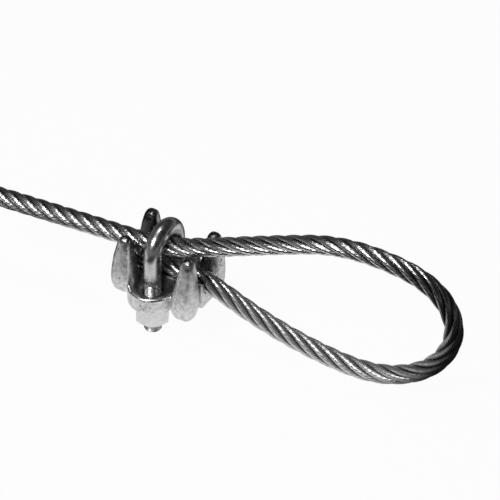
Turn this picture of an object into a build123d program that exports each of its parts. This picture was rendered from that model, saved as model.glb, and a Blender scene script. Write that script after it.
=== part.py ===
from build123d import *
from math import cos, pi, radians, tan
import os

# A cast wire rope clip that holds a turned-back rope eye. The cast saddle has a groove for the rope's
# dead end, four horns that keep both ropes in line, and two dished bosses. A U-bolt goes over both ropes
# and down through the bosses, and two collar nuts under the saddle pull it tight.
# +Z runs up the U-bolt's legs, +X along the ropes to the eye, +Y to the back. The origin lies under the
# middle of the clip, at the level of the bolt's two ends, which stand on the table with the eye.

# Rope
rope_d = 13.0
rope_gap = 0.4  # between the two ropes in the clip
seat_clearance = 0.3  # all round the rope in its groove, and under the bow

# U-bolt
bolt_d = 12.0
leg_pitch = 29.4
bolt_x = -2.8  # the bolt sits off the saddle's middle, towards the rope's tail
bolt_end_chamfer = 1.2
groove_rope_z = 43.8  # the lower rope's centre above the bolt's ends
live_rope_rise = 1.9  # the upper rope rides this much higher under the bow than in the tail

# Saddle
saddle_length = 63.0
saddle_x = -0.5  # its trough's middle; the leaning horns bring the whole clip's to the origin
trough_half_width = 8.4
trough_height = 41.5
trough_end_height = 44.5
trough_end_length = 9.0
trough_end_z = 25.6  # the underside's height at the two ends
trough_rise_length = 11.0
seat_z = 23.0  # the underside that the nuts press on
trough_edge_r = 2.0

# Bosses
boss_r = 16.5
boss_top_z = 36.0
boss_rim_r = 1.4
boss_foot_r = 2.5
dish_r = 13.4
dish_floor_r = 9.0
dish_floor_z = 31.4
leg_hole_clearance = 0.75

# Horns: how far their sides stand in from the widest section, from the foot's underside to the tip
horn_bottom_z = {-1: 25.4, 1: 19.4}  # the tail end's horns have the shorter feet
horn_top_z = 69.6
horn_width = 18.6  # along X, from the saddle's end face inwards
horn_depth = 16.5  # along Y
horn_out_y = 24.6
horn_lean = 2.4  # the tips lean this much towards the eye
horn_height_shares = (0.0, 0.07, 0.21, 0.38, 0.59, 0.76, 0.9, 0.965, 0.99, 1.0)
horn_end_side_shares = (0.24, 0.07, 0.0, 0.0, 0.03, 0.08, 0.15, 0.2, 0.27, 0.36)
horn_bolt_side_shares = (0.32, 0.13, 0.0, 0.09, 0.2, 0.27, 0.32, 0.36, 0.43, 0.5)
horn_outer_side_shares = (0.32, 0.12, 0.0, 0.0, 0.08, 0.16, 0.22, 0.27, 0.34, 0.42)
horn_rope_side_shares = (0.3, 0.1, 0.0, 0.05, 0.15, 0.21, 0.24, 0.29, 0.36, 0.44)
horn_corner_share = 0.42  # of the narrower side of a section

# Collar nuts
nut_across_flats = 21.0
nut_height = 14.0
collar_r = 12.4
collar_height = 2.8
nut_chamfer_r = 10.3
nut_chamfer_height = 1.2
nut_bore_clearance = 0.05
nut_turns = {-1: -2.0, 1: 14.0}  # degrees round its bolt's leg, for the front and the rear nut

overrun = 5.0  # past a face that a cut goes through

# The rope's route from its cut dead end in the groove, round the eye, back through the clip and off to
# the left, as the places where its straight runs would meet
route = [
    (-31.8, 0.0, 43.8),
    (-1.3, 0.3, 43.8),
    (28.7, 0.0, 43.8),
    (63.7, 4.2, 24.6),
    (105.7, 8.4, 10.6),
    (146.7, 12.6, 4.8),
    (178.7, 15.8, 16.5),
    (199.2, 17.6, 38.5),
    (206.2, 18.2, 65.0),
    (195.2, 17.2, 89.0),
    (169.7, 15.0, 101.6),
    (122.7, 10.4, 105.0),
    (76.7, 5.6, 88.6),
    (29.7, 0.9, 70.0),
    (-2.8, 0.0, 57.2),
    (-68.3, -5.2, 57.4),
    (-132.3, -11.0, 57.2),
]
arc_share = 0.45  # of the shorter run, taken by each arc

rope_r = rope_d / 2
bolt_r = bolt_d / 2
leg_y = leg_pitch / 2
live_rope_z = groove_rope_z + rope_d + rope_gap + live_rope_rise
bow_z = live_rope_z + rope_r + seat_clearance + bolt_r - leg_y  # where the legs turn into the bow
groove_r = rope_r + seat_clearance


def arc_radii(points):
    """The largest arc that each corner of the route allows."""
    corners = [Vector(*p) for p in points]
    radii = []
    for before, here, after in zip(corners, corners[1:], corners[2:]):
        turn = (here - before).get_angle(after - here)
        shorter = min((here - before).length, (after - here).length)
        radii.append(arc_share * shorter / tan(radians(turn) / 2))
    return radii


def tube(points, radius):
    """A round tube along straight runs joined by tangent arcs."""
    radii = arc_radii(points)
    path = FilletPolyline(*points, radius=radii)
    section = Plane(path @ 0, z_dir=path % 0) * Circle(radius)
    return sweep(section, path=path), path, radii


def horn(end, side):
    """One horn: a broad tongue beside the boss, square in section with round corners, that narrows to a tip."""
    sections = []
    shares = (horn_height_shares, horn_end_side_shares, horn_bolt_side_shares)
    shares += (horn_outer_side_shares, horn_rope_side_shares)
    for height_share, end_share, bolt_share, outer_share, rope_share in zip(*shares):
        width = horn_width * (1 - end_share - bolt_share)
        depth = horn_depth * (1 - outer_share - rope_share)
        x = saddle_length / 2 - horn_width * end_share - width / 2
        lean = saddle_x + horn_lean * height_share
        y = horn_out_y - horn_depth * outer_share - depth / 2
        z = horn_bottom_z[end] + (horn_top_z - horn_bottom_z[end]) * height_share
        corner = horn_corner_share * min(width, depth)
        sections.append(Pos(end * x + lean, side * y, z) * RectangleRounded(width, depth, corner))
    return loft(sections)


def boss(side):
    """One boss: a thick round ear with a rounded rim and a shallow dish round the bolt's leg."""
    height = boss_top_z - seat_z
    body = Pos(0, 0, seat_z + height / 2) * Cylinder(boss_r, height)
    body = fillet(body.edges().group_by(Axis.Z)[0], radius=boss_foot_r)
    dish_depth = boss_top_z - dish_floor_z
    body -= Pos(0, 0, dish_floor_z + dish_depth / 2) * Cone(dish_floor_r, dish_r, dish_depth)
    rim = body.edges().filter_by(GeomType.CIRCLE).group_by(Axis.Z)[-1]
    body = fillet(rim, radius=boss_rim_r)
    return Pos(bolt_x, side * leg_y, 0) * body


def saddle():
    """The cast saddle: trough, bosses and horns in one piece."""
    half = saddle_length / 2
    step = half - trough_end_length
    flat = half - trough_rise_length
    outline = Plane.XZ * Polygon(
        (-half, trough_end_z),
        (-flat, seat_z),
        (flat, seat_z),
        (half, trough_end_z),
        (half, trough_end_height),
        (step, trough_end_height),
        (step - trough_edge_r, trough_height),
        (trough_edge_r - step, trough_height),
        (-step, trough_end_height),
        (-half, trough_end_height),
        align=None,
    )
    outline = fillet(outline.vertices().group_by(Axis.X)[0], radius=trough_edge_r)
    outline = fillet(outline.vertices().group_by(Axis.X)[-1], radius=trough_edge_r)
    body = Pos(saddle_x, 0, 0) * extrude(outline, amount=trough_half_width, both=True)
    for side in (-1, 1):
        body += boss(side)
        for end in (-1, 1):
            body += horn(end, side)
    start = Vector(*route[0]) - Vector(overrun, 0, 0)
    groove, _, _ = tube([tuple(start), *route[1:4]], groove_r)
    body -= groove
    hole_r = bolt_r + leg_hole_clearance
    for side in (-1, 1):
        drill = Pos(bolt_x, side * leg_y, trough_end_height) * Cylinder(hole_r, 2 * trough_end_height)
        body -= drill
    return body


def u_bolt():
    """The U-bolt: one bent round rod with chamfered ends."""
    legs = Line((0, -leg_y, 0), (0, -leg_y, bow_z))
    bow = ThreePointArc((0, -leg_y, bow_z), (0, 0, bow_z + leg_y), (0, leg_y, bow_z))
    other = Line((0, leg_y, bow_z), (0, leg_y, 0))
    rod = sweep(Plane((0, -leg_y, 0), z_dir=(0, 0, 1)) * Circle(bolt_r), path=Wire([legs, bow, other]))
    ends = rod.edges().filter_by(GeomType.CIRCLE).group_by(Axis.Z)[0]
    return Pos(bolt_x, 0, 0) * chamfer(ends, length=bolt_end_chamfer)


def nut(side):
    """One collar nut: a hexagon with chamfered corners under a round collar."""
    hexagon = extrude(RegularPolygon(nut_across_flats / 2, 6, major_radius=False), amount=nut_height)
    corner_r = nut_across_flats / 2 / cos(pi / 6)
    round_off = Pos(0, 0, nut_chamfer_height + nut_height / 2) * Cylinder(corner_r, nut_height)
    round_off += Pos(0, 0, nut_chamfer_height / 2) * Cone(nut_chamfer_r, corner_r, nut_chamfer_height)
    body = hexagon & round_off
    body += Pos(0, 0, nut_height - collar_height / 2) * Cylinder(collar_r, collar_height)
    body -= Pos(0, 0, nut_height / 2) * Cylinder(bolt_r + nut_bore_clearance, nut_height + overrun)
    return Pos(bolt_x, side * leg_y, seat_z - nut_height) * Rot(0, 0, nut_turns[side]) * body


os.makedirs("parts", exist_ok=True)
rope, rope_path, rope_radii = tube(route, rope_r)
print("rope length", round(rope_path.length, 1), "radii", [round(r, 1) for r in rope_radii])
print("rope volume over section times length", round(rope.volume / (pi * rope_r**2 * rope_path.length), 5))
pieces = {
    "saddle": saddle(),
    "u_bolt": u_bolt(),
    "nut_front": nut(-1),
    "nut_rear": nut(1),
    "wire_rope": rope,
}
for name, piece in pieces.items():
    piece.label = name
    export_step(piece, f"parts/{name}.step")
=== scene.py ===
"""A wire rope clip of the horned kind, tight on a steel rope that is turned back into an open eye.
The clip stands on its U-bolt's two ends, and the eye rests its lower run on the table."""

import math

import bpy
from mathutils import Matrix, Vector


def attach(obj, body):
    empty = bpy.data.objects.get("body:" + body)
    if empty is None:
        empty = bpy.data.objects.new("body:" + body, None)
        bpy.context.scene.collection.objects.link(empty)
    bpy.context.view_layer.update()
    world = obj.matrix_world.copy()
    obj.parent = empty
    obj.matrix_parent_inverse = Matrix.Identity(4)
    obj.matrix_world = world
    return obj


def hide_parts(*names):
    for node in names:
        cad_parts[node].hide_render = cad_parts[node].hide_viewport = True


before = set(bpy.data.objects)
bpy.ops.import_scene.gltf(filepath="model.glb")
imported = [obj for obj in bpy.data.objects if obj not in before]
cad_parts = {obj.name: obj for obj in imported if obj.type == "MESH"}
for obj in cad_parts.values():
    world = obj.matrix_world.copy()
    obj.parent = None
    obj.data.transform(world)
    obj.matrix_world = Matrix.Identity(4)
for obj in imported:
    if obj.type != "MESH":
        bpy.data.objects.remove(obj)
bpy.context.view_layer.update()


# Wire rope: six strands of galvanised wire, laid right-handed round a core and lightly oiled. Its
# dead end lies in the saddle's groove, and it turns back in an open eye and runs on under the
# U-bolt's bow.
rope_d = 0.013
strand_count = 6
strand_d = 0.0047
core_d = 0.0052
core_sides = 10
core_stride = 2  # the core has a ring of points at every second one of the rope's
wires_in_strand = 12
wire_flute = 0.00014  # depth of the groove between two wires of a strand
wire_points = (  # for each wire of a strand: shift round it, share of the flute's depth, crown
    (0, 1, 0.0),
    (-0.15, 0.07, 1.0),
    (0.15, 0.07, 1.0),
)
lay_length = 0.063  # along the straight tail, for one turn of a strand
eye_lay_length = 0.075  # the bent eye opens the strands a little
eye_run = (0.04, 0.46)  # where along the rope the eye's lay holds, from the dead end
lay_change = 0.03  # the length over which the one lay goes over into the other
ring_step = 0.0015
first_strand_turn = math.radians(28)
line_fineness = 24  # points from one place of the route to the next
rope_crease = math.radians(75)  # edges sharper than this stay sharp
rope_route = [
    (-0.0318, 0.0, 0.0438),
    (-0.0013, 0.0003, 0.0438),
    (0.0287, 0.0, 0.0438),
    (0.0637, 0.0042, 0.0246),
    (0.1057, 0.0084, 0.0106),
    (0.1467, 0.0126, 0.0048),
    (0.1787, 0.0158, 0.0165),
    (0.1992, 0.0176, 0.0385),
    (0.2062, 0.0182, 0.065),
    (0.1952, 0.0172, 0.089),
    (0.1697, 0.015, 0.1016),
    (0.1227, 0.0104, 0.105),
    (0.0767, 0.0056, 0.0886),
    (0.0297, 0.0009, 0.07),
    (-0.0028, 0.0, 0.0572),
    (-0.0683, -0.0052, 0.0574),
    (-0.1323, -0.011, 0.0572),
]


class Level:
    """A number on its way through a finish's nodes, so that sums on it read as plain sums."""

    def __init__(self, finish, socket):
        self.finish, self.socket = finish, socket

    def maths(self, operation, *others):
        """What a Math node makes of this level and the others."""
        return self.finish.node("Math", {"operation": operation}, dict(enumerate((self, *others))))

    def __add__(self, other):
        return self.maths("ADD", other)

    def __mul__(self, other):
        return self.maths("MULTIPLY", other)

    def __sub__(self, other):
        return self.maths("SUBTRACT", other)

    def __rsub__(self, other):
        return self.finish.node("Math", {"operation": "SUBTRACT"}, {0: other, 1: self})

    def __pow__(self, other):
        return self.maths("POWER", other)

    __radd__ = __add__
    __rmul__ = __mul__

    def largest(self, *others):
        """Whichever is the largest of this level and the others."""
        result = self
        for other in others:
            result = result.maths("MAXIMUM", other)
        return result

    def spread(self, low, high, start=0.0, end=1.0):
        """This level with low to high stretched over start to end, and held there."""
        limits = {"From Min": low, "From Max": high, "To Min": start, "To Max": end}
        return self.finish.node("MapRange", {"clamp": True}, {"Value": self, **limits})

    def falls(self, low, high, start=1.0):
        """Start where this level is under low, then less, and 0 where it is over high."""
        return self.spread(low, high, start, 0.0)

    def between(self, rise, fall):
        """1 where this level is between two soft edges, and 0 outside them."""
        return self.spread(*rise) * self.falls(*fall)


class Finish:
    """One surface finish: a material whose shader is fed by what node() and the sums above add."""

    def __init__(self, name, **constants):
        self.material = bpy.data.materials.new(name)
        self.material.use_nodes = True
        self.tree = self.material.node_tree
        self.shader = self.tree.nodes["Principled BSDF"]
        self.feed(**constants)

    def put(self, socket, value):
        """Links a level to a socket, or sets the socket to a plain value."""
        if isinstance(value, Level):
            self.tree.links.new(value.socket, socket)
        else:
            socket.default_value = value

    def node(self, kind, settings=None, sockets=None, output=0):
        """Adds a node, sets it up, fills its sockets and gives back one of its outputs."""
        made = self.tree.nodes.new("ShaderNode" + kind)
        for name, value in (settings or {}).items():
            setattr(made, name, value)
        for name, value in (sockets or {}).items():
            self.put(made.inputs[name], value)
        return Level(self, made.outputs[output])

    def feed(self, **values):
        """Fills the shader's own sockets, each named in small letters."""
        for socket, value in values.items():
            self.put(self.shader.inputs[socket.replace("_", " ").title()], value)

    def coordinate(self, axis):
        """How far along X, Y or Z a point of the piece lies, in metres."""
        place = self.node("TexCoord", output="Object")
        return self.node("SeparateXYZ", sockets={0: place}, output=axis)

    def noise(self, per_metre, detail):
        """An even, grainy pattern from 0 to 1."""
        place = self.node("TexCoord", output="Object")
        sockets = {"Vector": place, "Scale": per_metre, "Detail": detail}
        return self.node("TexNoise", sockets=sockets)

    def roughen(self, height, depth):
        """Lets the shader see the height as relief that is this deep."""
        sockets = {"Height": height, "Distance": depth, "Strength": 1.0}
        self.feed(normal=self.node("Bump", sockets=sockets))


def set_out(name, data):
    """Puts a new object with this data into the scene."""
    made = bpy.data.objects.new(name, data)
    bpy.context.collection.objects.link(made)
    return made


def fresh():
    """Goes back to object mode with nothing selected."""
    if bpy.context.mode != "OBJECT":
        bpy.ops.object.mode_set(mode="OBJECT")
    bpy.ops.object.select_all(action="DESELECT")


def hold(*pieces):
    """Goes back to object mode with only these pieces selected, the first of them active."""
    fresh()
    for piece in pieces:
        piece.select_set(True)
    bpy.context.view_layer.objects.active = pieces[0]


def line_points(name, route):
    """The points that Blender gives along a smooth line whose control points are the route's."""
    curve = bpy.data.curves.new(name, "CURVE")
    curve.dimensions = "3D"
    curve.resolution_u = line_fineness
    spline = curve.splines.new("NURBS")
    spline.points.add(len(route) - 1)
    for point, place in zip(spline.points, route):
        point.co = (*place, 1)
    spline.order_u = 3
    spline.use_endpoint_u = True
    holder = set_out(name, curve)
    points = [v.co.copy() for v in bpy.data.meshes.new_from_object(holder).vertices]
    bpy.data.objects.remove(holder)
    return points


def evenly(points, step):
    """The same line with its points about one step apart, and its length."""
    lengths = [0.0]
    for a, b in zip(points, points[1:]):
        lengths.append(lengths[-1] + (b - a).length)
    count = round(lengths[-1] / step)
    placed, i = [], 0
    for k in range(count + 1):
        along = lengths[-1] * k / count
        while i < len(points) - 2 and lengths[i + 1] < along:
            i += 1
        share = (along - lengths[i]) / (lengths[i + 1] - lengths[i])
        placed.append(points[i].lerp(points[i + 1], share))
    return placed, lengths[-1]


def carried_frames(points):
    """The direction at each point, and a sideways one that turns no more than the line does."""
    steps = [(b - a).normalized() for a, b in zip(points, points[1:])]
    ahead = [steps[0]] + [(a + b).normalized() for a, b in zip(steps, steps[1:])] + [steps[-1]]
    sides = [ahead[0].cross(Vector((0, 1, 0))).normalized()]
    for a, b in zip(ahead, ahead[1:]):
        sides.append((a.rotation_difference(b) @ sides[-1]).normalized())
    return ahead, sides


rope_line, rope_length = evenly(line_points("rope_route", rope_route), ring_step)
rope_ahead, rope_side = carried_frames(rope_line)
strand_r = strand_d / 2
strand_path_r = rope_d / 2 - strand_r
strand_turns = [first_strand_turn]
for k in range(1, len(rope_line)):
    off_eye = max(eye_run[0] - k * ring_step, k * ring_step - eye_run[1], 0.0)
    share = min(off_eye / lay_change, 1.0)
    lay = eye_lay_length + (lay_length - eye_lay_length) * share
    strand_turns.append(strand_turns[-1] + math.tau * ring_step / lay)
wire_gear = -rope_d / strand_d  # brings the outer wires in line with the rope
strand_sides = wires_in_strand * len(wire_points)
rope_verts, rope_faces, wire_crowns, strand_crests = [], [], [], []


def add_tube(rings, crowns, crests):
    """Adds a closed tube through the rings to the rope's mesh, cut off square at its two ends."""
    start, count = len(rope_verts), len(rings[0])
    for end in (0, -1):
        place, ahead = rope_line[end], rope_ahead[end]
        rings[end] = [point + ahead * (place - point).dot(ahead) for point in rings[end]]
        # a cut end is left out of the painted shade of the flutes and valleys
        crowns[end] = crests[end] = [1.0] * count  # a cut end is bright
    for ring, ring_crowns, ring_crests in zip(rings, crowns, crests):
        rope_verts.extend(ring)
        wire_crowns.extend(ring_crowns)
        strand_crests.extend(ring_crests)
    for k in range(len(rings) - 1):
        low = start + k * count
        for j in range(count):
            right = (j + 1) % count
            rope_faces.append((low + j, low + right, low + count + right, low + count + j))
    rope_faces.append(tuple(range(start + count - 1, start - 1, -1)))
    last = start + (len(rings) - 1) * count
    rope_faces.append(tuple(range(last, last + count)))


for strand in range(strand_count):
    centres, outwards = [], []
    for place, ahead, side, strand_turn in zip(rope_line, rope_ahead, rope_side, strand_turns):
        turn = strand_turn + math.tau * strand / strand_count
        outward = side * math.cos(turn) + ahead.cross(side) * math.sin(turn)
        outwards.append(outward)
        centres.append(place + outward * strand_path_r)
    strand_ahead, _ = carried_frames(centres)
    rings, crowns, crests = [], [], []
    for k, (centre, outward, ahead) in enumerate(zip(centres, outwards, strand_ahead)):
        across = ahead.cross(outward).normalized()
        outward = across.cross(ahead)
        ring, ring_crowns, ring_crests = [], [], []
        for j in range(strand_sides):
            shift, flute_share, crown = wire_points[j % len(wire_points)]
            turn = math.tau * (j + shift) / strand_sides + wire_gear * strand_turns[k]
            reach = strand_r - flute_share * wire_flute
            ring.append(centre + (outward * math.cos(turn) + across * math.sin(turn)) * reach)
            ring_crowns.append(crown)
            ring_crests.append(math.cos(turn))
        rings.append(ring)
        crowns.append(ring_crowns)
        crests.append(ring_crests)
    add_tube(rings, crowns, crests)
core_turns = [math.tau * j / core_sides for j in range(core_sides)]
core_rings = []
for place, ahead, side in list(zip(rope_line, rope_ahead, rope_side))[::core_stride]:
    up = ahead.cross(side)
    spokes = [side * math.cos(turn) + up * math.sin(turn) for turn in core_turns]
    core_rings.append([place + spoke * core_d / 2 for spoke in spokes])
# The core gets the darkest painted shade, for it lies under the strands.
in_flutes = [[0.0] * core_sides for _ in core_rings]
under_strands = [[-1.0] * core_sides for _ in core_rings]
add_tube(core_rings, in_flutes, under_strands)

rope_mesh = bpy.data.meshes.new("steel_rope")
rope_mesh.from_pydata(rope_verts, [], rope_faces)
for name, values in (("wire_crown", wire_crowns), ("strand_crest", strand_crests)):
    rope_mesh.attributes.new(name, "FLOAT", "POINT").data.foreach_set("value", values)
rope = set_out("steel_rope", rope_mesh)
hold(rope)
bpy.ops.object.shade_smooth_by_angle(angle=rope_crease)

# Wire crowns at full tone, with painted shade in the flutes between wires and the valleys between
# strands.
# The eye's outer end is painted dark as painted shade, and dust dulls and roughens the run that
# slants down from the saddle.
flute_painted_shade = 0.4
valley_painted_shade = 0.18
# painted shade: the eye's outer end is darkened
dark_end_x = (0.155, 0.198)
end_painted_shade = 0.6
dusty_x = (0.025, 0.05)
dusty_z = (0.035, 0.06)
dust_rough = 0.1
dust_dull = 0.25

rope_wire = Finish("rope_wire", metallic=1.0)
wire_crown = rope_wire.node("Attribute", {"attribute_name": "wire_crown"}, output="Fac")
strand_crest = rope_wire.node("Attribute", {"attribute_name": "strand_crest"}, output="Fac")
grease = rope_wire.noise(per_metre=300, detail=3)
# painted shade: darker in the flutes between wires and in the valleys between strands
wire_zinc_and_painted_shade = wire_crown.spread(0.0, 1.0, flute_painted_shade, 1.0)
wire_zinc_and_painted_shade = wire_zinc_and_painted_shade * strand_crest.spread(0.2, 0.7, valley_painted_shade, 1.0)
rope_x = rope_wire.coordinate("X")
painted_dark_end = rope_x.spread(*dark_end_x)
dusty_run = rope_x.spread(*dusty_x) * rope_wire.coordinate("Z").falls(*dusty_z) * (1 - painted_dark_end)
rope_wire.feed(
    base_color=wire_zinc_and_painted_shade * grease.spread(0.35, 0.65, 0.6, 0.85) * (1 - end_painted_shade * painted_dark_end),
    roughness=grease.spread(0.35, 0.65, 0.32, 0.22) + dust_rough * dusty_run,
    metallic=1 - dust_dull * dusty_run,
)
rope_mesh.materials.append(rope_wire.material)
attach(rope, "clip")
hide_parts("wire_rope")


# Saddle: one malleable iron casting, zinc plated. A trough with the rope's groove, a dished boss
# round each of the bolt's legs, and four horns that keep the ropes in line, all run together with
# cast fillets.
saddle_x = -0.0005
saddle_half = 0.0315
trough_half_width = 0.0084
trough_edge_r = 0.001
trough_stations = (  # along X from the saddle's middle: place, underside, top
    (-0.0315, 0.0256, 0.0445),
    (-0.0225, 0.0235, 0.0445),
    (-0.0205, 0.023, 0.0415),
    (0.0205, 0.023, 0.0415),
    (0.0225, 0.0235, 0.0445),
    (0.0315, 0.0256, 0.0445),
)
groove_r = 0.0068
groove_overrun = 0.01  # past the rope's dead end
groove_rings = 60  # how many of the rope's rings lie in it
groove_stride = 4
groove_roundness = 10
bolt_x = -0.0028
leg_y = 0.0147
leg_hole_r = 0.00675
hole_overrun = 0.02
seat_z = 0.023
boss_r = 0.0165
boss_sides = 64
boss_top_z = 0.036
boss_foot_r = 0.0025
boss_foot_steps = 5
boss_rim_r = 0.0012
boss_rim_steps = 4
dish_r = 0.0134
dish_floor_r = 0.009
dish_floor_z = 0.0314
horn_bottom_z = {-1: 0.0254, 1: 0.0194}
horn_top_z = 0.0696
horn_width = 0.0186
horn_depth = 0.0165
horn_out_y = 0.0246
horn_lean = 0.0024
horn_shares = (  # height, then how far the end, bolt, outer and rope sides stand in
    (0.0, 0.24, 0.32, 0.32, 0.3),
    (0.07, 0.07, 0.13, 0.12, 0.1),
    (0.21, 0.0, 0.0, 0.0, 0.0),
    (0.38, 0.0, 0.09, 0.0, 0.05),
    (0.59, 0.03, 0.2, 0.08, 0.15),
    (0.76, 0.08, 0.27, 0.16, 0.21),
    (0.9, 0.15, 0.32, 0.22, 0.24),
    (0.965, 0.2, 0.36, 0.27, 0.29),
    (1.0, 0.3, 0.46, 0.37, 0.39),
)
horn_corner_share = 0.42
horn_roundings = 2
corner_steps = 6
cast_grain = 0.0005  # the size of the casting's mesh
cast_wave = 0.006  # the size of its unevenness
cast_wave_height = 0.0003
cast_smoothings = 5
nearly_level = 1e-5
faces_up = 0.9  # the rise of a normal from which on its face counts as a top


def drawn(name, sections, turn, corner):
    """A solid drawn out of a round-cornered plane through sections, each a middle and a size."""
    fresh()
    middle, size = sections[0]
    bpy.ops.mesh.primitive_plane_add(size=1, location=middle, rotation=turn)
    piece = bpy.context.object
    piece.name = name
    bpy.ops.object.mode_set(mode="EDIT")
    bpy.ops.transform.resize(value=[a or 1 for a in size], center_override=middle)
    bpy.ops.mesh.bevel(offset=corner, segments=corner_steps, affect="VERTICES")
    for (middle, size), (next_middle, next_size) in zip(sections, sections[1:]):
        move = [b - a for a, b in zip(middle, next_middle)]
        bpy.ops.mesh.extrude_region_move(TRANSFORM_OT_translate={"value": move})
        scale = [b / a if a else 1 for a, b in zip(size, next_size)]
        bpy.ops.transform.resize(value=scale, center_override=next_middle)
    bpy.ops.mesh.select_all(action="SELECT")
    bpy.ops.mesh.normals_make_consistent(inside=False)
    bpy.ops.object.mode_set(mode="OBJECT")
    bpy.ops.object.transform_apply(location=True, rotation=True, scale=True)
    return piece


def pick(piece, domain, wanted):
    """Goes into edit mode with only the wanted faces or edges of the piece selected."""
    bpy.ops.object.mode_set(mode="EDIT")
    bpy.ops.mesh.select_mode(type="FACE" if domain == "polygons" else "EDGE")
    bpy.ops.mesh.select_all(action="DESELECT")
    bpy.ops.object.mode_set(mode="OBJECT")
    for element in getattr(piece.data, domain):
        element.select = wanted(element)
    bpy.ops.object.mode_set(mode="EDIT")


def round_edges_at(piece, z, radius, steps):
    """Rounds the edges of the piece that lie at this height."""
    at_height = [abs(v.co.z - z) < nearly_level for v in piece.data.vertices]
    pick(piece, "edges", lambda edge: all(at_height[v] for v in edge.vertices))
    bpy.ops.mesh.bevel(offset=radius, segments=steps)
    bpy.ops.object.mode_set(mode="OBJECT")


def finish_with(piece, kind, **settings):
    """Adds a modifier to the piece and applies it."""
    hold(piece)
    modifier = piece.modifiers.new(kind.lower(), kind)
    for name, value in settings.items():
        setattr(modifier, name, value)
    bpy.ops.object.modifier_apply(modifier=modifier.name)


def cut_by(piece, tool, operation="DIFFERENCE"):
    """Cuts the tool out of the piece, or joins them, and clears the tool away."""
    finish_with(piece, "BOOLEAN", object=tool, operation=operation, solver="EXACT")
    bpy.data.objects.remove(tool)


def rod(radius, low, high, x, y, sides=48):
    """A plain upright cylinder, for a boss, a bore or a collar."""
    fresh()
    middle, depth = (x, y, (low + high) / 2), high - low
    bpy.ops.mesh.primitive_cylinder_add(vertices=sides, radius=radius, depth=depth, location=middle)
    bpy.ops.object.transform_apply(location=True)
    return bpy.context.object


trough_sections = []
for x, low, high in trough_stations:
    middle = (saddle_x + x, 0, (low + high) / 2)
    trough_sections.append((middle, (0, 2 * trough_half_width, high - low)))
saddle = drawn("cast_saddle", trough_sections, (0, math.pi / 2, 0), trough_edge_r)
saddle_parts = [saddle]
for end in (-1, 1):
    for side in (-1, 1):
        horn_sections = []
        for height, end_share, bolt_share, outer_share, rope_share in horn_shares:
            width = horn_width * (1 - end_share - bolt_share)
            depth = horn_depth * (1 - outer_share - rope_share)
            x = end * (saddle_half - horn_width * end_share - width / 2)
            y = side * (horn_out_y - horn_depth * outer_share - depth / 2)
            z = horn_bottom_z[end] + (horn_top_z - horn_bottom_z[end]) * height
            middle = (x + saddle_x + horn_lean * height, y, z)
            horn_sections.append((middle, (width, depth, 0)))
        corner = horn_corner_share * min(horn_sections[0][1][:2])
        horn = drawn("horn", horn_sections, (0, 0, 0), corner)
        finish_with(horn, "SUBSURF", levels=horn_roundings, render_levels=horn_roundings)
        saddle_parts.append(horn)
for side in (-1, 1):
    boss = rod(boss_r, seat_z, boss_top_z, bolt_x, side * leg_y, boss_sides)
    pick(boss, "polygons", lambda face: face.normal.z > faces_up)
    bpy.ops.mesh.inset(thickness=boss_r - dish_r)
    bpy.ops.mesh.inset(thickness=dish_r - dish_floor_r, depth=dish_floor_z - boss_top_z)
    bpy.ops.object.mode_set(mode="OBJECT")
    round_edges_at(boss, boss_top_z, boss_rim_r, boss_rim_steps)
    round_edges_at(boss, seat_z, boss_foot_r, boss_foot_steps)
    saddle_parts.append(boss)
hold(*saddle_parts)
bpy.ops.object.join()
finish_with(saddle, "REMESH", mode="VOXEL", voxel_size=cast_grain)
groove_line = bpy.data.curves.new("groove", "CURVE")
groove_line.dimensions = "3D"
groove_line.bevel_depth = groove_r
groove_line.bevel_resolution = groove_roundness
groove_line.use_fill_caps = True
groove_start = rope_line[0] - Vector((groove_overrun, 0, 0))
groove_points = [groove_start] + rope_line[:groove_rings:groove_stride]
groove_spline = groove_line.splines.new("POLY")
groove_spline.points.add(len(groove_points) - 1)
for point, place in zip(groove_spline.points, groove_points):
    point.co = (*place, 1)
groove = set_out("groove", groove_line)
hold(groove)
bpy.ops.object.convert(target="MESH")
cut_by(saddle, groove)
for side in (-1, 1):
    cut_by(saddle, rod(leg_hole_r, 0, boss_top_z + hole_overrun, bolt_x, side * leg_y))
finish_with(saddle, "REMESH", mode="VOXEL", voxel_size=cast_grain)
finish_with(saddle, "SMOOTH", factor=0.5, iterations=cast_smoothings)
unevenness = bpy.data.textures.new("cast_unevenness", "CLOUDS")
unevenness.noise_scale = cast_wave
finish_with(
    saddle,
    "DISPLACE",
    texture=unevenness,
    texture_coords="LOCAL",
    strength=cast_wave_height,
    mid_level=0.5,
)
bpy.ops.object.shade_smooth()

# Blotched and pitted zinc, with painted shade in the trough and the dishes and on the horns' tips,
# and worn smooth on the horns' tips and the bosses' rims. Each of these places fades in and out
# softly.
pit_dark = 0.65
# painted shade on the horns' tips, darkening them
tip_painted_shade = 0.35
# painted shade in the trough and the dishes
recess_painted_shade = 0.68
worn_smooth = 0.2
trough_x = (0.0255, 0.0295)
trough_y = (0.0148, 0.0185)
trough_z = (0.029, 0.035)
dish_edge = (0.0115, 0.0135)
dish_z = (0.029, 0.031)
dish_shade_share = 0.8
tip_z = (0.0605, 0.0655)
rim_z = (0.0335, 0.0345)
rim_inside = (0.0135, 0.0145)
rim_outside = (0.0168, 0.0174)
cast_relief = 0.00018

cast_zinc = Finish("cast_zinc", metallic=1.0)
blotch = cast_zinc.noise(per_metre=330, detail=4)
grain = cast_zinc.noise(per_metre=1300, detail=3)
pit = cast_zinc.noise(per_metre=300, detail=2).spread(0.66, 0.74)
along = cast_zinc.coordinate("X")
off_middle = cast_zinc.coordinate("Y").maths("ABSOLUTE")
height = cast_zinc.coordinate("Z")
off_leg = ((along - bolt_x) ** 2 + (off_middle - leg_y) ** 2) ** 0.5
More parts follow.
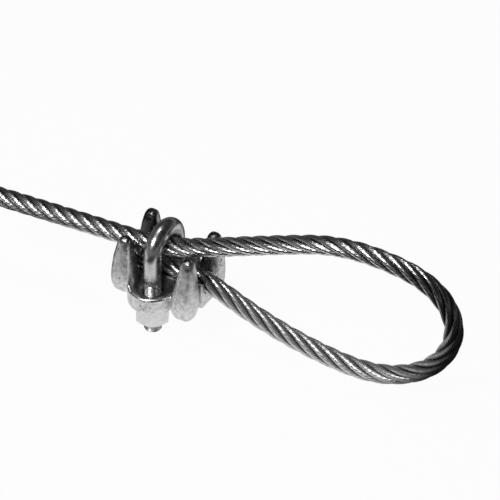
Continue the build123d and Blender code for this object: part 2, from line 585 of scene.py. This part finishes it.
# painted shade: the trough and the dishes are darkened
trough_shade_mask = off_middle.falls(*trough_y) * height.spread(*trough_z)
trough_shade_mask = trough_shade_mask * along.maths("ABSOLUTE").falls(*trough_x)
dish_shade_mask = off_leg.falls(*dish_edge, dish_shade_share) * height.spread(*dish_z)
worn_and_shaded_tip = height.spread(*tip_z)
worn_rim = off_leg.between(rim_inside, rim_outside) * height.spread(*rim_z)
clean_zinc = 0.44 + 0.3 * blotch.spread(0.37, 0.63) + 0.26 * grain.spread(0.33, 0.67)
# painted shade: the tips are darkened, besides being worn smooth below
pitted_zinc_and_tip_shade = clean_zinc * (1 - pit_dark * pit) * (1 - tip_painted_shade * worn_and_shaded_tip)
cast_zinc.feed(
    base_color=pitted_zinc_and_tip_shade * (1 - recess_painted_shade * trough_shade_mask.largest(dish_shade_mask)),
    roughness=0.4 + 0.12 * blotch.spread(0.35, 0.65) - worn_smooth * worn_and_shaded_tip.largest(worn_rim),
)
cast_zinc.roughen(0.5 * grain + 0.35 * blotch - 1.2 * pit, cast_relief)
saddle.data.materials.clear()
saddle.data.materials.append(cast_zinc.material)
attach(saddle, "clip")
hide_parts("saddle")


# U-bolt: one 12 mm steel rod, threaded at both ends and bent cold, then zinc plated bright. Its
# bow presses on the upper rope and its legs go down through the bosses.
bolt_r = 0.006
bolt_sides = 48
bolt_end_chamfer = 0.0012
bow_z = 0.0573
bow_steps = 48
thread_top = 0.0405
thread_pitch = 0.00175
thread_depth = 0.001
thread_runout = 1.5 * thread_pitch
flank_steepness = 1.3
flank_start = 0.15
rings_in_half_thread = 92
same_place = 1e-6
steel_crease = math.radians(40)
bolt_relief = 0.00004

fresh()
bpy.ops.mesh.primitive_circle_add(
    vertices=bolt_sides, radius=bolt_r, fill_type="NGON", location=(bolt_x, -leg_y, 0)
)
u_bolt = bpy.context.object
u_bolt.name = "bent_bolt"
bpy.ops.object.mode_set(mode="EDIT")
straights = (thread_top / 2, thread_top / 2, bow_z - thread_top)
for rise in straights:
    bpy.ops.mesh.extrude_region_move(TRANSFORM_OT_translate={"value": (0, 0, rise)})
bpy.ops.mesh.spin(steps=bow_steps, angle=math.pi, center=(bolt_x, 0, bow_z), axis=(1, 0, 0))
for rise in reversed(straights):
    bpy.ops.mesh.extrude_region_move(TRANSFORM_OT_translate={"value": (0, 0, -rise)})
bpy.ops.mesh.select_all(action="SELECT")
bpy.ops.mesh.remove_doubles(threshold=same_place)
bpy.ops.mesh.normals_make_consistent(inside=False)
bpy.ops.object.mode_set(mode="OBJECT")
bpy.ops.object.transform_apply(location=True)
places = [v.co.copy() for v in u_bolt.data.vertices]


def runs_up_the_thread(edge):
    """True for an upright edge in the threaded part of a leg."""
    low, high = sorted(places[v].z for v in edge.vertices)
    return high < thread_top + nearly_level and high - low > thread_pitch


pick(u_bolt, "edges", runs_up_the_thread)
bpy.ops.mesh.subdivide(number_cuts=rings_in_half_thread - 1)
bpy.ops.object.mode_set(mode="OBJECT")
for v in u_bolt.data.vertices:
    middle = Vector((bolt_x, math.copysign(leg_y, v.co.y), v.co.z))
    spoke = v.co - middle
    if v.co.z > thread_top + nearly_level or spoke.length < same_place:
        continue
    turn = math.atan2(spoke.y, spoke.x) / math.tau
    flank = abs((v.co.z / thread_pitch - turn) % 1 * 2 - 1)  # 1 in a thread's root, 0 on its crest
    flank = min(max(flank * flank_steepness - flank_start, 0), 1)
    runout = min(max((thread_top - v.co.z) / thread_runout, 0), 1)
    reach = bolt_r - thread_depth * flank * runout
    reach = min(reach, bolt_r - bolt_end_chamfer + v.co.z)
    v.co = middle + spoke.normalized() * reach
hold(u_bolt)
bpy.ops.object.shade_smooth_by_angle(angle=steel_crease)

bolt_zinc = Finish("bolt_zinc", metallic=1.0)
haze = bolt_zinc.noise(per_metre=180, detail=3)
scuff = bolt_zinc.noise(per_metre=900, detail=3)
bolt_zinc.feed(
    base_color=0.56 + 0.14 * haze.spread(0.3, 0.7) - 0.08 * scuff.spread(0.55, 0.7),
    roughness=0.22 + 0.1 * haze.spread(0.35, 0.65) + 0.08 * scuff.spread(0.5, 0.7),
)
bolt_zinc.roughen(scuff + haze, bolt_relief)
u_bolt.data.materials.append(bolt_zinc.material)
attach(u_bolt, "u_bolt")
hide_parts("u_bolt")


# Nuts: two steel collar nuts, forged and turned, then zinc plated. Each is run up its leg until
# its collar presses on the underside of a boss.
nut_sides = 6
nut_flat_r = 0.0105  # half the width across the flats
nut_corner_r = nut_flat_r / math.cos(math.pi / nut_sides)
nut_height = 0.014
nut_chamfer_r = 0.0103
nut_chamfer_height = 0.0012
nut_bore_r = 0.00605
bore_overrun = 0.001
collar_r = 0.0124
collar_height = 0.0028
turned_sides = 96
cone_reach = 20  # the turning cone is this many chamfers high, so that it clears the whole nut
nut_edge_r = 0.00035
nut_edge_steps = 3
nut_edge_turn = math.radians(25)  # edges sharper than this are rounded
nut_turns = {-1: math.radians(-2), 1: math.radians(14)}
nut_relief = 0.00008

blank = rod(nut_corner_r, 0, nut_height, 0, 0, nut_sides)
blank.rotation_euler.z = math.pi / nut_sides
hold(blank)
bpy.ops.object.transform_apply(rotation=True)
fresh()
bpy.ops.mesh.primitive_cone_add(
    vertices=turned_sides,
    radius1=nut_chamfer_r,
    radius2=nut_chamfer_r + cone_reach * (nut_corner_r - nut_chamfer_r),
    depth=cone_reach * nut_chamfer_height,
    location=(0, 0, cone_reach / 2 * nut_chamfer_height),
)
bpy.ops.object.transform_apply(location=True)
cut_by(blank, bpy.context.object, "INTERSECT")
collar = rod(collar_r, nut_height - collar_height, nut_height, 0, 0, turned_sides)
cut_by(blank, collar, "UNION")
cut_by(blank, rod(nut_bore_r, -bore_overrun, nut_height + bore_overrun, 0, 0))
finish_with(
    blank,
    "BEVEL",
    width=nut_edge_r,
    segments=nut_edge_steps,
    limit_method="ANGLE",
    angle_limit=nut_edge_turn,
)
bpy.ops.object.shade_smooth_by_angle(angle=steel_crease)

nut_zinc = Finish("nut_zinc", metallic=1.0)
haze = nut_zinc.noise(per_metre=300, detail=4)
scuff = nut_zinc.noise(per_metre=1400, detail=3)
nut_zinc.feed(
    base_color=0.66 + 0.18 * haze.spread(0.3, 0.7) - 0.16 * scuff.spread(0.55, 0.7),
    roughness=0.3 + 0.15 * haze.spread(0.35, 0.65),
)
nut_zinc.roughen(0.6 * scuff + 0.4 * haze, nut_relief)
blank.data.materials.append(nut_zinc.material)
for side, name in ((-1, "front"), (1, "rear")):
    nut = set_out(name + "_collar_nut", blank.data.copy())
    hold(nut)
    nut.rotation_euler.z = nut_turns[side]
    nut.location = (bolt_x, side * leg_y, seat_z - nut_height)
    bpy.ops.object.transform_apply(location=True, rotation=True)
    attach(nut, name + "_nut")
    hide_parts("nut_" + name)
bpy.data.objects.remove(blank)


# The table under the clip: a plain white sheet far wider than the view. The camera sees nearly all
# of it as a plain white glow and the rest as lit paper, so it stays white and keeps a soft shadow.
# For mirror rays it glows as painted pools of light in three areas near the clip and dim further
# off, which paints the metal's pale reflections.
table_half = 6.0
table_drop = 0.0002  # below the bolt's ends and the rope
table_paper = (0.86, 0.86, 0.86, 1)
table_glow_share = 0.96
pale_mirrored = 0.9
dim_mirrored = 0.03

fresh()
bpy.ops.mesh.primitive_plane_add(size=2 * table_half, location=(0, 0, -table_drop))
table = bpy.context.object
table.name = "table"
table_white = Finish("table_white", base_color=table_paper, roughness=0.9)
along = table_white.coordinate("X")
across = table_white.coordinate("Y")
under_clip = along.between((-0.1, -0.07), (0.13, 0.19))
under_clip = under_clip * across.between((-0.13, -0.08), (0.03, 0.08))
before_tail = along.falls(-0.11, -0.08) * across.between((-0.35, -0.3), (-0.09, -0.07))
behind_eye = along.between((0.03, 0.06), (0.13, 0.19))
behind_eye = behind_eye * across.between((0.02, 0.04), (0.22, 0.3))
# painted pools of light, seen only in the metal's mirror views
painted_light_pools = under_clip.largest(before_tail, behind_eye)
straight = table_white.node("LightPath", output="Is Camera Ray")
mirrored = table_white.node("LightPath", output="Is Glossy Ray")
passed = table_white.node("LightPath", output="Is Transmission Ray")
strength = straight.largest(painted_light_pools.spread(0.0, 1.0, dim_mirrored, pale_mirrored))
glow = table_white.node("Emission", sockets={"Color": (1, 1, 1, 1), "Strength": strength})
own = Level(table_white, table_white.shader.outputs[0])
share = (straight * table_glow_share).largest(mirrored, passed * table_glow_share)
mixed = table_white.node("MixShader", sockets={0: share, 1: own, 2: glow})
table_white.put(table_white.tree.nodes["Material Output"].inputs["Surface"], mixed)
table.data.materials.append(table_white.material)


# The room: a dim grey at the horizon that falls off to nearly black overhead, so that the metal's
# upward faces go dark.
horizon_z = 0.05
overhead_z = 0.3
horizon_grey = 0.3
overhead_grey = 0.025

room = bpy.data.worlds.new("room")
bpy.context.scene.world = room
room.use_nodes = True
room_tree = room.node_tree
direction = room_tree.nodes.new("ShaderNodeTexCoord").outputs["Generated"]
parts = room_tree.nodes.new("ShaderNodeSeparateXYZ")
room_tree.links.new(direction, parts.inputs[0])
fade = room_tree.nodes.new("ShaderNodeMapRange")
fade.interpolation_type = "SMOOTHSTEP"
fade.inputs["From Min"].default_value = horizon_z
fade.inputs["From Max"].default_value = overhead_z
fade.inputs["To Min"].default_value = horizon_grey
fade.inputs["To Max"].default_value = overhead_grey
room_tree.links.new(parts.outputs["Z"], fade.inputs["Value"])
room_tree.links.new(fade.outputs[0], room_tree.nodes["Background"].inputs["Color"])


# Two soft lamps: a strong one high in front and to the left, and a weaker one overhead.
for name, place, size, power in (  # in metres and watts
    ("front", (-0.3, -1.28, 1.52), 0.6, 20),
    ("overhead", (-0.3, 0.1, 1.95), 0.5, 5),
):
    lamp = bpy.data.lights.new(name, "AREA")
    lamp.size, lamp.energy = size, power
    lamp_holder = set_out(name, lamp)
    lamp_holder.location = place
    lamp_holder.rotation_euler = (-Vector(place)).to_track_quat("-Z", "Y").to_euler()


# The camera: far off with a long lens, so the view is all but parallel.
view_azimuth = math.radians(31)
view_elevation = math.radians(39)
view_distance = 5.0
view_width = 0.32258
view_centre = Vector((0.06244, 0.0, 0.08233))

lens = bpy.data.cameras.new("lens")
lens.sensor_width = 36
lens.lens = lens.sensor_width * view_distance / view_width
lens.clip_end = 4 * view_distance
camera = set_out("camera", lens)
back = Vector(
    (
        math.sin(view_azimuth) * math.cos(view_elevation),
        -math.cos(view_azimuth) * math.cos(view_elevation),
        math.sin(view_elevation),
    )
)
camera.location = view_centre + back * view_distance
camera.rotation_euler = back.to_track_quat("Z", "Y").to_euler()
bpy.context.scene.camera = camera
bpy.context.scene.view_settings.view_transform = "Standard"
